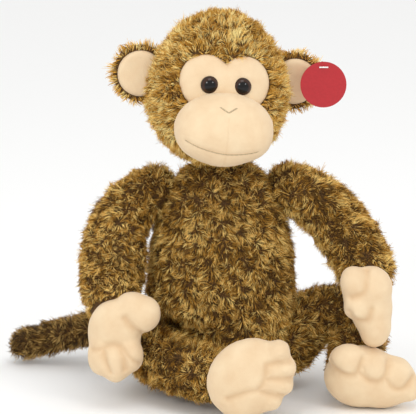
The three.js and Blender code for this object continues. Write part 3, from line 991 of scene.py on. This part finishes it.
bm = packed_solids(["muzzle_skin", "muzzle_stuffing"])
for centre, radii in MUZZLE_LOBES:
    add_lobe(bm, on_head(*centre) / MM, radii, HEAD_LEAN)
muzzle = finer(rounded_skin("muzzle_velboa", bm, 3 * MM, cap=1.2 * MM, smooth_steps=6))
mouth_fold = [mouth_at(share) for share in (-1, -0.5, 0, 0.5, 1)]
# The seam and the mouth are pressed in, and a little shade is painted along each.
press_creases(muzzle, [MUZZLE_SEAM], depth=0.3, width=0.9, shade_depth=0.12, to_local=in_head)
press_creases(muzzle, [mouth_fold], depth=0.6, width=1.8, shade_depth=0.12, to_local=in_head)
muzzle.data.materials.append(velboa)
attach(muzzle, "head")
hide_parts("muzzle_skin")
print("muzzle", len(muzzle.data.polygons), "faces")


# %% [markdown]
# ## Face patch
# Two lobes of velboa lie on the head round the eyes. A flat shape could be shrinkwrapped, but
# its rim would wander. So a fine grid is cut to the lobes, its rim is drawn to their outline,
# and each point is dropped onto the head. Solidify gives the cloth its thickness.

# %% Face patch
FORWARD = -Vector(head_turn.col[1][:3])
IN_FRONT = -130
CLOTH_THICKNESS = 1.2 * MM


def drop_on(tree, x, z, lift):
    """Where a point at the head's (x, z) meets the surface from in front, lifted a little."""
    hit, normal, _, _ = tree.ray_cast(on_head(x, IN_FRONT, z), -FORWARD)
    return hit + normal * lift * MM


def lobe_depth(x, z):
    """How far inside the nearer lobe's outline the point is, in millimetres."""
    from_middles = [math.hypot(x - side * PATCH_SPREAD, z - PATCH_RISE) for side in (-1, 1)]
    return PATCH_LOBE - min(from_middles)


def thickened(piece, thickness):
    """Gives a sheet its thickness, all of it behind the face that shows."""
    cloth = piece.modifiers.new("cloth_thickness", "SOLIDIFY")
    cloth.thickness = thickness
    cloth.offset = -1
    return shade_smooth(applied(piece))


PATCH_CELL = 1.2
PATCH_CELLS = (60, 36)
RIM_LIFT = 0.5
CROWN_LIFT = 1.9
CROWN_REACH = 2.0
bm = bmesh.new()
bmesh.ops.create_grid(bm, x_segments=PATCH_CELLS[0], y_segments=PATCH_CELLS[1], size=1)
half_grid = [cells / 2 * PATCH_CELL for cells in PATCH_CELLS]
bmesh.ops.scale(bm, verts=bm.verts[:], vec=(*half_grid, 1))
bmesh.ops.translate(bm, verts=bm.verts[:], vec=(0, PATCH_RISE, 0))
outside = [v for v in bm.verts if lobe_depth(v.co.x, v.co.y) < -PATCH_CELL]
bmesh.ops.delete(bm, geom=outside, context="VERTS")
head_surface = surface_under(head)
for vert in bm.verts:
    x, z = vert.co.x, vert.co.y
    depth = lobe_depth(x, z)
    if depth < 0:
        side = 1 if x > 0 else -1
        middle = Vector((side * PATCH_SPREAD, PATCH_RISE))
        rim = middle + (Vector((x, z)) - middle).normalized() * PATCH_LOBE
        x, z, depth = rim.x, rim.y, 0
    lift = RIM_LIFT + CROWN_LIFT * (1 - math.exp(-depth / CROWN_REACH))
    vert.co = drop_on(head_surface, x, z, lift)
patch = thickened(from_bmesh("face_patch_velboa", bm, velboa), CLOTH_THICKNESS)
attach(patch, "head")
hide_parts("face_patch")
print("patch", len(patch.data.polygons), "faces")

# %% [markdown]
# ## Eyes
# A safety eye is a moulded dome on a stem. The clear shell shows a dark brown ring round a
# black pupil, and its polish gives sharp highlights. One painted dome is enough, because the
# ring lies so close under the shell that no depth shows.

# %% Eyes
RING = "ring"
EYE_RADIUS = 7
EYE_DOME = 5.2
EYE_SPREAD = 12.4
EYE_RISE = 8.5
EYE_LIFT = 0.9


def eye_material():
    """Moulded acrylic with a painted back: glossy, with an IOR of about 1.49."""
    material, shader = new_material(
        "moulded_acrylic_eye", Roughness=0.05, IOR=1.49, Specular_IOR_Level=0.35)
    ring = add_node(material, "ShaderNodeAttribute", attribute_name=RING)
    tone = add_node(material, "ShaderNodeValToRGB", {"Fac": ring.outputs["Fac"]})
    steps = tone.color_ramp.elements
    steps[0].position, steps[0].color = 0.55, linear("#060404")
    steps[1].position, steps[1].color = 0.99, linear("#0E0805")
    for position, colour in ((0.74, "#3B2213"), (0.9, "#2E1A0E")):
        steps.new(position).color = linear(colour)
    link(material, tone.outputs["Color"], shader, "Base Color")
    return material


acrylic = eye_material()
for name, side in (("right_eye", -1), ("left_eye", 1)):
    seat = drop_on(head_surface, side * EYE_SPREAD, EYE_RISE, EYE_LIFT)
    bm = bmesh.new()
    bmesh.ops.create_uvsphere(bm, u_segments=40, v_segments=24, radius=EYE_RADIUS * MM,
                              matrix=Matrix.Rotation(math.radians(90), 4, "X"))
    bmesh.ops.scale(bm, verts=bm.verts[:], vec=(1, EYE_DOME / EYE_RADIUS, 1))
    rings = [math.hypot(v.co.x, v.co.z) / (EYE_RADIUS * MM) for v in bm.verts]
    bmesh.ops.transform(bm, matrix=Matrix.Translation(seat) @ head_turn, verts=bm.verts[:])
    eye = from_bmesh(f"{name}_dome", bm, acrylic)
    painted = eye.data.attributes.new(RING, "FLOAT", "POINT")
    painted.data.foreach_set("value", np.array(rings, np.float32))
    shade_smooth(eye)
    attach(eye, "head")
    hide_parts(name)
    print(eye.name, len(eye.data.polygons), "faces")

# %% [markdown]
# ## Nose and mouth
# Both are embroidered. The nose is a small V of satin stitches, laid side by side, and the
# mouth is one line of back stitches whose ends dive into the cloth.

# %% Threads on the muzzle
muzzle_surface = surface_under(muzzle)


def lay_thread(name, runs, radius, replaced):
    """Thread along runs of (x, z) in the head's frame, one stitch a run, its ends in the cloth."""
    curve = bpy.data.curves.new(name, "CURVE")
    curve.dimensions = "3D"
    curve.bevel_depth = radius * MM
    curve.bevel_resolution = 2
    curve.resolution_u = 4
    curve.use_fill_caps = True
    for run in runs:
        spline = curve.splines.new("POLY")
        spline.points.add(len(run) - 1)
        for number, (x, z) in enumerate(run):
            share = number / (len(run) - 1)
            proud = radius * (0.9 * math.sin(math.pi * share) - 0.35)
            spline.points[number].co = (*drop_on(muzzle_surface, x, z, proud), 1)
    drawn = bpy.data.objects.new(name, curve)
    scene.collection.objects.link(drawn)
    shown = drawn.evaluated_get(bpy.context.evaluated_depsgraph_get())
    mesh = bpy.data.meshes.new_from_object(shown)
    bpy.data.objects.remove(drawn)
    piece = shade_smooth(as_object(name, mesh, thread))
    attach(piece, "head")
    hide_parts(replaced)
    print(name, len(mesh.polygons), "faces")


def stitch(start, end, steps=7):
    """The points of one straight stitch, ends included."""
    start, step = np.array(start), (np.array(end) - np.array(start))
    return [tuple(start + step * k / steps) for k in range(steps + 1)]


# %% Mouth and nose
STITCHES = 15
mouth = [mouth_at(share) for share in np.linspace(-1, 1, STITCHES + 1)]
mouth_runs = [stitch(start, end) for start, end in zip(mouth[:-1], mouth[1:])]
lay_thread("mouth_thread", mouth_runs, 0.4, "mouth_stitch")

NOSE_TOP = -4.5
NOSE_TALL = 3.6
NOSE_HALF = 6.2
ROW_STEP = 0.45
nose_runs = []
for side in (-1, 1):
    for row in (-1, 0, 1):
        shift = ROW_STEP * row
        wing = (side * (NOSE_HALF + shift), NOSE_TOP)
        nose_runs.append(stitch(wing, (side * shift, NOSE_TOP - NOSE_TALL)))
lay_thread("nose_thread", nose_runs, 0.32, "nose_stitch")

# %% [markdown]
# ## Ears
# An ear is a disc of pile behind and velboa in front, sewn at the rim and turned, so the
# lining dishes a little and the pile peeps round its edge. The lining is a line of points
# spun about the ear's middle, which keeps its rim an even circle.

# %% Ears
EAR_OUT = 6.5
EAR_BACK = 6
EAR_RISE = 8
EAR_HALF = (22.5, 4.5, 23.5)
EAR_DENSITY = 0.9
EAR_RIM = 17.5
HEAD_HALF = 54.5
LINING_RADIUS = 18
LINING_RINGS = 10
LINING_SPOKES = 48
LINING_FRONT = -6.6
LINING_DISH = 1.5
RIM_SINK = 2.6


def lining_disc():
    """A disc of rings about the Y axis, dished in the middle and sunk at its very rim."""
    bm = bmesh.new()
    steps = [LINING_RADIUS * MM * k / LINING_RINGS for k in range(LINING_RINGS + 1)]
    line = [bm.verts.new((step, 0, 0)) for step in steps]
    links = [bm.edges.new(pair) for pair in zip(line[:-1], line[1:])]
    bmesh.ops.spin(bm, geom=line + links, cent=(0, 0, 0), axis=(0, 1, 0), angle=2 * math.pi,
                   steps=LINING_SPOKES, use_merge=True)
    bmesh.ops.remove_doubles(bm, verts=bm.verts[:], dist=WELD)
    for vert in bm.verts:
        share = math.hypot(vert.co.x, vert.co.z) / (LINING_RADIUS * MM)
        sunk = LINING_FRONT + LINING_DISH * (1 - share ** 2) + RIM_SINK * share ** 12
        vert.co.y = sunk * MM
    return bm


for name, side in (("right_ear", -1), ("left_ear", 1)):
    middle = (side * (HEAD_HALF + EAR_OUT), EAR_BACK, EAR_RISE)
    bm = bmesh.new()
    add_lobe(bm, on_head(*middle) / MM, EAR_HALF, HEAD_LEAN)
    ear = rounded_skin(f"{name}_plush", bm, 2.2 * MM, cap=0.8 * MM, smooth_steps=3)
    ear.data.materials.append(backing)
    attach(ear, "head")
    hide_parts(f"{name}_back")
    roots, normals = scatter(ear, EAR_DENSITY, 40 + side)
    local = in_head(roots)
    apart = np.hypot(local[:, 0] - middle[0], local[:, 2] - middle[2])
    behind = (local[:, 1] > middle[1] - 0.5) | (apart > EAR_RIM)
    outwards = unit(roots - np.array(on_head(*middle))) + 0.35 * np.array(-FORWARD)
    grow_pile(f"{name}_pile", roots[behind], normals[behind], outwards[behind], head_pile, "head",
              width=0.6 * MM, stand=0.5, swirl=0.4, contrast=0.25, seed=400 + side)
    bm = lining_disc()
    place = Matrix.Translation(on_head(*middle)) @ head_turn
    bmesh.ops.transform(bm, matrix=place, verts=bm.verts[:])
    lining = thickened(from_bmesh(f"{name}_velboa", bm, velboa), CLOTH_THICKNESS)
    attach(lining, "head")
    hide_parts(f"{name}_lining")
    print(lining.name, len(lining.data.polygons), "faces")

# %% [markdown]
# ## Swing tag and care label
# The tag is a plain round card of two leaves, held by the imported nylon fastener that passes
# through it near its top. It carries no print. The care label is a blank satin ribbon, folded
# in two and sewn into the back seam.

# %% Swing tag
TAG_PIVOT = Vector((79.6, -9, 260.4)) * MM
TAG_RADIUS = 18
TAG_EDGE = 4
LEAF_THICKNESS = 0.6
LEAF_OFFSET = 0.38
LEAF_OPENING = math.radians(1.2)
RIM_ANGLE = 1.2
RIM_ROUND = 0.12
bm = bmesh.new()
for leaf in (-1, 1):
    start = bm.verts[:]
    bmesh.ops.create_cone(bm, cap_ends=True, segments=72, radius1=TAG_RADIUS * MM,
                          radius2=TAG_RADIUS * MM, depth=LEAF_THICKNESS * MM,
                          matrix=Matrix.Rotation(math.radians(90), 4, "X"))
    fresh = [v for v in bm.verts if v not in start]
    opening = Matrix.Rotation(LEAF_OPENING * leaf, 4, "Z")
    bmesh.ops.translate(bm, verts=fresh, vec=(0, LEAF_OFFSET * leaf * MM, 0))
    bmesh.ops.transform(bm, verts=fresh, matrix=opening)
rims = [e for e in bm.edges if e.is_manifold and e.calc_face_angle(0) > RIM_ANGLE]
bmesh.ops.bevel(bm, geom=rims, offset=RIM_ROUND * MM, segments=2, affect="EDGES", profile=0.5,
                material=-1)
card_middle = TAG_PIVOT + Vector((0, 0, TAG_EDGE - TAG_RADIUS)) * MM
bmesh.ops.translate(bm, verts=bm.verts[:], vec=card_middle)
for face in bm.faces:
    face.material_index = 1 if abs(face.normal.y) < 0.6 else 0
tag = from_bmesh("swing_tag", bm, card_red, card_rim)
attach(tag, "tag")
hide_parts("tag_card")
print("tag", len(tag.data.polygons), "faces")

# %% Care label
RIBBON_HALF = 9 * MM
RIBBON_THICKNESS = 0.25 * MM
FOLD_ROUND = 0.9 * MM
LABEL_ABOVE = 2 * MM
LABEL_SHORTER = 3 * MM

low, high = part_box("care_label")
middle = (low + high) / 2
bm = bmesh.new()
bmesh.ops.create_grid(bm, x_segments=1, y_segments=14, size=1)
for vert in bm.verts:
    share = vert.co.y
    bend = FOLD_ROUND * math.cos(share * math.pi / 2)
    vert.co = middle + Vector((bend * (1 if share > 0 else -1), vert.co.x * RIBBON_HALF, 0))
    rise = (high.z - low.z - LABEL_SHORTER) * (1 - abs(share)) ** 0.8
    vert.co.z = low.z + LABEL_ABOVE + rise
label = thickened(from_bmesh("care_label_ribbon", bm, satin), RIBBON_THICKNESS)
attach(label, "torso")
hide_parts("care_label")
print("label", len(label.data.polygons), "faces")
